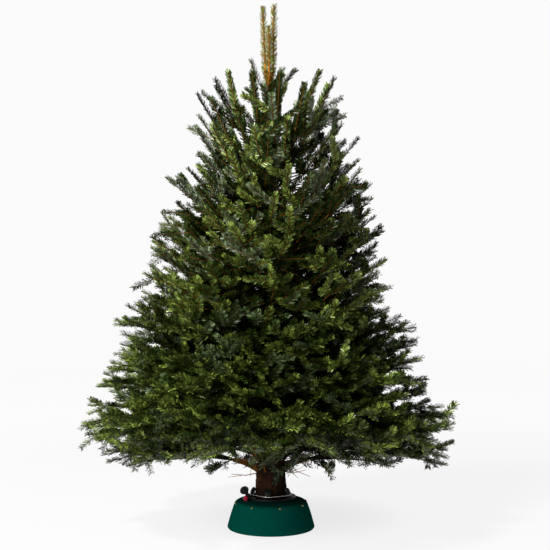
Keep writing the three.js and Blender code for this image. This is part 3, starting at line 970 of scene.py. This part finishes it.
def bark_limb(node, look):
    """A bare limb with a swollen collar, along its solid's own middle line."""
    points = corners(node)
    radii = np.hypot(points[:, 0], points[:, 1])
    near, far = radii.min(), radii.max()
    ends = points[radii > far - 0.0025]
    halfway = points[np.abs(radii - (near + far) / 2) < 0.016]
    a, c = Vector(points[radii < near + 0.012].mean(0)), Vector(ends.mean(0))
    b = Vector(halfway.mean(0)) if len(halfway) else (a + c) / 2
    thick = np.linalg.norm(ends - ends.mean(0), axis=1).mean()
    foot = a + (a - b).normalized() * 0.02
    control = b * 2 - (foot + c) * 0.5
    rings, count = [], 34
    for i in range(count + 1):
        t = i / count
        point = foot * (1 - t) ** 2 + control * (2 * t * (1 - t)) + c * t**2
        along = ((control - foot) * (1 - t) + (c - control) * t).normalized()
        side = along.cross(UP).normalized()
        up = side.cross(along)
        collar = 0.006 * math.exp(-((t / 0.22) ** 2))
        radius = thick * (1 + 0.75 * (1 - t) ** 1.5) * 1.05 + collar
        radius *= 1 - 0.6 * max(0.0, t * 5 - 4) ** 2
        ring = []
        for turn in turns(20):
            out = side * math.cos(turn) + up * math.sin(turn)
            spot = point + out * radius
            ring.append(spot + out * bark_height(spot, radius, look.relief * 0.6))
        rings.append(ring)
    return tube(f"bark_{node}", rings)


class TREE_OT_bark(bpy.types.Operator):
    """Makes the trunk and the bare limbs with their bark"""

    bl_idname = "tree.bark"
    bl_label = "Make the bark"

    def execute(self, context):
        look = context.scene.tree_bark
        # the second, lighter bark is painted light for the limbs on the left, towards the key light
        dark, light = bark_material(look), bark_material(look, 0.9)
        trunk = bark_trunk(Trunk(), look)
        trunk.data.materials.append(dark)
        finished(trunk, "tree", ["trunk"])
        for node in BARE_BOUGHS:
            limb = bark_limb(node, look)
            low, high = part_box(node)
            # limbs on the right, away from the key light, keep the darker bark; those on the left get
            # the painted light copy
            limb.data.materials.append(dark if low[0] + high[0] > 0 else light)
            finished(limb, "tree", [node])
        return {"FINISHED"}


# ---- stand ----------------------------------------------------------------------------------------
def applied(piece):
    """Makes what the piece's modifiers give its own plain mesh."""
    graph = bpy.context.evaluated_depsgraph_get()
    done = bpy.data.meshes.new_from_object(piece.evaluated_get(graph), depsgraph=graph)
    piece.modifiers.clear()
    piece.data = done


def creased(mesh, angle):
    """Shades the mesh smooth, apart from edges sharper than this many degrees."""
    shade(mesh)
    work = bmesh.new()
    work.from_mesh(mesh)
    limit = math.radians(angle)
    hard = [len(e.link_faces) == 2 and e.calc_face_angle(0) > limit for e in work.edges]
    work.free()
    mesh.edges.foreach_set("use_edge_sharp", hard)


def rounded_copy(node, width):
    """The solid's own shape with its edges rounded."""
    mesh = NODES[node].data.copy()
    mesh.name = f"{node}_finished"
    work = bmesh.new()
    work.from_mesh(mesh)
    bmesh.ops.remove_doubles(work, verts=work.verts, dist=1e-6)
    flat = math.radians(4)
    bmesh.ops.dissolve_limit(work, angle_limit=flat, verts=work.verts, edges=work.edges)
    work.to_mesh(mesh)
    work.free()
    piece = link(mesh.name, mesh)
    bevel = piece.modifiers.new("round", "BEVEL")
    bevel.width, bevel.segments, bevel.limit_method = width, 2, "ANGLE"
    bevel.angle_limit = math.radians(35)
    applied(piece)
    piece.data.materials.clear()
    creased(piece.data, 32)
    return piece


def turned_mesh(name, profile, sides):
    """A mesh turned round the upright axis from a closed profile of (radius, z)."""
    points, faces = [], []
    count = len(profile)
    for turn in turns(sides):
        points += [(r * math.sin(turn), -r * math.cos(turn), z) for r, z in profile]
    for k in range(sides):
        here, there = k * count, ((k + 1) % sides) * count
        for i in range(count):
            j = (i + 1) % count
            faces.append((here + i, there + i, there + j, here + j))
    mesh = bpy.data.meshes.new(name)
    mesh.from_pydata(points, [], faces)
    work = bmesh.new()
    work.from_mesh(mesh)
    bmesh.ops.recalc_face_normals(work, faces=work.faces)
    work.to_mesh(mesh)
    work.free()
    return link(name, mesh)


def smooth_profile(points, cut=0.28, steps=4):
    """Rounds the corners of an open profile."""
    out = [points[0]]
    for a, b, c in zip(points, points[1:], points[2:]):
        before = [y + (x - y) * cut for x, y in zip(a, b)]
        after = [y + (x - y) * cut for x, y in zip(c, b)]
        for k in range(steps + 1):
            t = k / steps
            parts = zip(before, b, after)
            out.append(tuple(x * (1 - t) ** 2 + 2 * t * (1 - t) * y + z * t * t for x, y, z in parts))
    return out + [points[-1]]


SCREW_AZIMUTHS = [14 + 45 * i for i in range(8)]
SCREW_RING = 0.1345
DECK = ((0.08, 0.108, 0.125, 0.134, 0.139), (0.112, 0.108, 0.102, 0.096, 0.086))  # radii, heights


def screw_place(azimuth, lift):
    """A place so far above the cover's deck, on the ring of its screws."""
    return polar(SCREW_RING, azimuth, float(np.interp(SCREW_RING, *DECK)) + lift)


def stand_cover():
    """The domed cover, with a round recess for each screw."""
    low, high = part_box("stand_cover")
    edge = (high[0] - low[0]) / 2
    outside = smooth_profile(
        [
            (edge - 0.0035, 0.0),
            (edge, 0.004),
            (edge - 0.0005, 0.009),
            (edge - 0.012, 0.05),
            (edge - 0.024, 0.086),
            (edge - 0.0285, 0.096),
            (edge - 0.038, 0.102),
            (0.108, 0.108),
            (0.08, 0.112),
        ]
    )
    inside = [(0.08, 0.108), (0.106, 0.104), (0.122, 0.098), (0.13, 0.09), (0.134, 0.084)]
    inside += [(0.146, 0.05), (edge - 0.006, 0.006), (edge - 0.0075, 0.0)]
    piece = turned_mesh("cover", outside + inside, 128)
    cutter = bmesh.new()
    cone = {"segments": 20, "radius1": 0.0075, "radius2": 0.009, "depth": 0.011}
    for azimuth in SCREW_AZIMUTHS:
        made = bmesh.ops.create_cone(cutter, cap_ends=True, **cone)
        bmesh.ops.translate(cutter, verts=made["verts"], vec=screw_place(azimuth, 0.004))
    mesh = bpy.data.meshes.new("cutter")
    cutter.to_mesh(mesh)
    cutter.free()
    tool = link("cutter", mesh)
    cut = piece.modifiers.new("recesses", "BOOLEAN")
    cut.object, cut.operation, cut.solver = tool, "DIFFERENCE", "EXACT"
    applied(piece)
    bpy.data.objects.remove(tool)
    creased(piece.data, 40)
    return piece


def cover_material(look):
    """Smooth plastic, darker on the deck inside the rim: partly the deck's own darker plastic, partly
    painted shade from the crown above.
    """
    surface = Surface("green plastic", look.cover, 0.4, specular_ior_level=0.0)
    where = surface.place()
    # the deck's darker colour is partly painted shade under the crown
    deck = surface.from_axis(where).ramp(0.132, 0.122)
    grain = surface.noise(where, 60.0, 4.0).ramp(0.3, 0.75)
    darker = tuple(c * 0.82 for c in look.cover)
    color = surface.mix(grain, (*darker, 1), (*look.cover, 1))
    surface.set("Base Color", surface.mix(deck, color, (*look.deck, 1)))
    surface.set("Roughness", surface.noise(where, 25.0, 3.0) * 0.14 + 0.27 + deck * 0.15)
    surface.bump(surface.noise(where, 900.0, 2.0), 0.12, 0.0004)
    return surface.material


def plastic_material(name, color, roughness):
    surface = Surface(name, color, roughness, specular_ior_level=0.08)
    where = surface.place()
    light = tuple(min(1.0, c * 1.35 + 0.0006) for c in color)
    grain = surface.noise(where, 70.0, 4.0).ramp(0.35, 0.75)
    surface.set("Base Color", surface.mix(grain, (*color, 1), (*light, 1)))
    surface.set("Roughness", surface.noise(where, 45.0, 3.0) * 0.2 + (roughness - 0.1))
    surface.bump(surface.noise(where, 1100.0, 2.0), 0.15, 0.0003)
    return surface.material


SCREW_HEAD = ((0.0048, 0.0), (0.0048, 0.0011), (0.0041, 0.0022), (0.0026, 0.0027))  # radius, z


def screw_shape():
    """A pan-head screw with a cross recess, its head's underside at z = 0."""
    work = bmesh.new()
    sides = 16
    even = [([radius] * sides, z) for radius, z in SCREW_HEAD]
    cross = [0.0022 if k % 4 == 0 else 0.0007 for k in range(sides)]
    layers = []
    for radii, z in [*even, (cross, 0.0013)]:
        places = zip(radii, turns(sides))
        layers.append([work.verts.new((r * math.cos(t), r * math.sin(t), z)) for r, t in places])
    for low, high in zip(layers, layers[1:]):
        for k in range(sides):
            beside = (k + 1) % sides
            work.faces.new((low[k], low[beside], high[beside], high[k]))
    work.faces.new(layers[-1])
    work.faces.new(list(reversed(layers[0])))
    mesh = bpy.data.meshes.new("screw")
    work.to_mesh(mesh)
    work.free()
    return link("screw", mesh)


def screws(material):
    """The cover's screws, on a ring of points."""
    shape = screw_shape()
    mesh = bpy.data.meshes.new("screw places")
    mesh.from_pydata([tuple(screw_place(azimuth, -0.0012)) for azimuth in SCREW_AZIMUTHS], [], [])
    net = Sockets("Screws on points", {"Screw": shape, "Turn": 1.0, "Seed": 4.0})
    index = net.add("GeometryNodeInputIndex")
    spin = net.random(0.0, 3.0, index, net.start.out("Seed")) * net.start.out("Turn")
    turned = {"Rotation": net.add("ShaderNodeCombineXYZ", None, {2: spin})}
    net.finish(net.scatter(net.start.out("Geometry"), "Screw", turned), [material])
    piece = net.mesh("screws", link("screw places", mesh))
    bpy.data.objects.remove(shape)
    shade(piece.data, False)
    return piece


ROPE = {"Radius": 0.0015, "Lay": 0.02}
ROPE_LINE = 0.0017  # from the outside of the cable's solid in to the rope's middle line
CLAW_HALF = 0.0118  # half the straight length of cable over a claw


def cable(material):
    """The wire rope round the claws: a lobed section twisted along one closed loop."""
    low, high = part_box("clamp_cable")
    z = (low[2] + high[2]) / 2
    loose = corners("clamp_cable")
    ring = float(np.hypot(loose[:, 0], loose[:, 1]).max()) - ROPE_LINE
    points = []
    for node in CLAWS:
        a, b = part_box(node)
        azimuth = math.degrees(math.atan2(a[0] + b[0], -(a[1] + b[1])))
        middle, along = polar(ring - 0.0004, azimuth, z), polar(1, azimuth + 90, 0)
        half = along * CLAW_HALF
        points.append((azimuth % 360, [middle - half, middle, middle + half]))
    points = [point for _, group in sorted(points) for point in group]
    mesh = bpy.data.meshes.new("cable line")
    count = len(points)
    edges = [(i, (i + 1) % count) for i in range(count)]
    mesh.from_pydata([tuple(point) for point in points], edges, [])
    net = Sockets("Twisted rope", ROPE)
    inputs = {"Curve": net.curves(), "Length": 0.0016}
    fine = net.add("GeometryNodeResampleCurve", {"mode": "LENGTH"}, inputs)
    length = net.add("GeometryNodeSplineParameter", None, None, "Length")
    tilt = length / net.start.out("Lay") * (2 * math.pi)
    wound = net.add("GeometryNodeSetCurveTilt", None, {"Curve": fine, "Tilt": tilt})
    inputs = {"Resolution": 18, "Radius": net.start.out("Radius")}
    circle = net.add("GeometryNodeCurvePrimitiveCircle", None, inputs)
    corner = net.add("GeometryNodeInputIndex")
    lobes = (corner * (2 * math.pi / 3)).math("COSINE") * 0.14 + 0.9
    place = net.add("GeometryNodeInputPosition").scaled(lobes)
    section = net.add("GeometryNodeSetPosition", None, {"Geometry": circle, "Position": place})
    rope = net.add("GeometryNodeCurveToMesh", None, {"Curve": wound, "Profile Curve": section})
    net.finish(rope, [material])
    piece = net.mesh("cable_rope", link("cable line", mesh))
    shade(piece.data)
    return piece


class TREE_OT_stand(bpy.types.Operator):
    """Finishes the stand: cover, cup, clamp, cable, screws, pedal and lock tab"""

    bl_idname = "tree.stand"
    bl_label = "Finish the stand"

    def execute(self, context):
        look = context.scene.tree_stand
        green = cover_material(look)
        black = plastic_material("black plastic", look.fittings, 0.5)
        red = plastic_material("red plastic", look.lock, 0.4)
        brass = Surface("brass", look.brass, 0.3, metallic=1.0).material
        steel = Surface("steel cable", look.steel, 0.35, metallic=1.0).material
        cover = stand_cover()
        cover.data.materials.append(green)
        finished(cover, "tree", ["stand_cover"])
        pieces = [
            ("stand_cup", 0.001, green, "green_plastic", "tree"),
            ("clamp_ring", 0.0008, black, "black_plastic", "tree"),
            *[(node, 0.0014, black, "black_plastic", "tree") for node in CLAWS],
            ("foot_pedal", 0.0018, black, "black_plastic", "pedal"),
            ("lock_tab", 0.0012, red, "red_plastic", "tree"),
        ]
        for node, width, material, slot, body in pieces:
            piece = rounded_copy(node, width)
            piece.data.materials.append(material)
            finished(piece, body, [node])
        finished(screws(brass), "tree", [])
        finished(cable(steel), "tree", ["clamp_cable"])
        return {"FINISHED"}


# ---- stage ----------------------------------------------------------------------------------------
FLOOR, WALL, WALL_TOP = 6.8, 8.5, 4.6  # radii of the flat floor and the wall, and its height
KEY = ((-3.1, -3.5, 6.0), 1.1)  # place, and the height aimed at on the trunk
FILL = ((-2.6, -2.9, 1.15), 0.45)


def floor_material(look):
    """A pale glowing floor, with a painted shadow round the stand, and brightest far off."""
    surface = Surface("floor", (0.02, 0.02, 0.02), 0.9, emission_strength=1.0, specular_ior_level=0.0)
    # centred a little behind the trunk and to its right, where the tree's shadow falls: the dimmer glow
    # near it is a painted shadow
    away = surface.from_axis(surface.place().vector("SUBTRACT", (0.1, 0.2, 0.0)))
    near = surface.mix(away.ramp(0.15, 0.52), (*look.floor_near_shadow, 1), (*look.floor_middle, 1))
    surface.set("Emission Color", surface.mix(away.ramp(1.5, 4.0), near, (*look.floor_far, 1)))
    return surface.material


def round_floor(material):
    """A round floor that curves up into a round wall."""
    bend = WALL - FLOOR
    curve = np.linspace(0, math.pi / 2, 16)[1:]
    profile = [(0.001, 0.0), (FLOOR, 0.0)]
    profile += [(FLOOR + bend * math.sin(a), bend - bend * math.cos(a)) for a in curve]
    profile += [(WALL, WALL_TOP)]
    sides, count = 96, len(profile)
    points = [polar(r, 360 * k / sides, z - 0.0005) for k in range(sides) for r, z in profile]
    faces = []
    for k in range(sides):
        here, there = k * count, (k + 1) % sides * count
        faces += [(here + i, there + i, there + i + 1, here + i + 1) for i in range(count - 1)]
    mesh = bpy.data.meshes.new("floor")
    mesh.from_pydata(points, [], faces)
    mesh.materials.append(material)
    shade(mesh)
    return link("floor", mesh)


def area_light(name, width, watts, place, aim):
    lamp = bpy.data.lights.new(name, "AREA")
    lamp.shape, lamp.size, lamp.size_y, lamp.energy = "RECTANGLE", width, 1.0, watts
    piece = link(name, lamp)
    piece.location = place
    toward = Vector((0, 0, aim)) - piece.location
    piece.rotation_euler = toward.to_track_quat("-Z", "Y").to_euler()
    return piece


class TREE_OT_stage(bpy.types.Operator):
    """Lays the pale floor and sets the light and the camera"""

    bl_idname = "tree.stage"
    bl_label = "Set the stage"

    def execute(self, context):
        look = context.scene.tree_stage
        round_floor(floor_material(look))
        area_light("key", 1.0, look.key, *KEY)
        area_light("fill", 1.6, look.fill, *FILL)

        world = bpy.data.worlds.new("room")
        world.use_nodes = True
        sky = world.node_tree.nodes["Background"]
        sky.inputs["Color"].default_value = (1, 1, 1, 1)
        sky.inputs["Strength"].default_value = look.ambient
        context.scene.world = world

        eye = bpy.data.cameras.new("eye")
        eye.lens, eye.sensor_width, eye.clip_end = look.lens, 36.0, 60
        camera = link("eye", eye)
        camera.location = (0.015, -look.distance, look.height)
        camera.rotation_euler = (math.pi / 2, 0, 0)
        context.scene.camera = camera
        context.scene.view_settings.view_transform = "Standard"
        return {"FINISHED"}


class TREE_PT_panel(bpy.types.Panel):
    """The tree's settings and its steps"""

    bl_idname = "TREE_PT_panel"
    bl_label = "Christmas tree"
    bl_space_type = "VIEW_3D"
    bl_region_type = "UI"
    bl_category = "Tree"

    def draw(self, context):
        for step, group in STEPS:
            box = self.layout.box()
            box.operator(f"tree.{step}")
            own = getattr(context.scene, group)
            for key in own.__annotations__:
                box.prop(own, key)


STEPS = [
    ("stage", "tree_stage"),
    ("stand", "tree_stand"),
    ("bark", "tree_bark"),
    ("foliage", "tree_foliage"),
]
GROUPS = {
    "tree_stage": TreeStageSettings,
    "tree_stand": TreeStandSettings,
    "tree_bark": TreeBarkSettings,
    "tree_foliage": TreeFoliageSettings,
}
CLASSES = [*GROUPS.values(), TREE_OT_stage, TREE_OT_stand, TREE_OT_bark, TREE_OT_foliage, TREE_PT_panel]


def register():
    for cls in CLASSES:
        bpy.utils.register_class(cls)
    for key, group in GROUPS.items():
        setattr(bpy.types.Scene, key, bpy.props.PointerProperty(type=group))


def unregister():
    for key in GROUPS:
        delattr(bpy.types.Scene, key)
    for cls in reversed(CLASSES):
        bpy.utils.unregister_class(cls)


def main():
    register()
    for step, _ in STEPS:
        getattr(bpy.ops.tree, step)()
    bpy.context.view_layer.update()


if __name__ == "__main__":
    main()
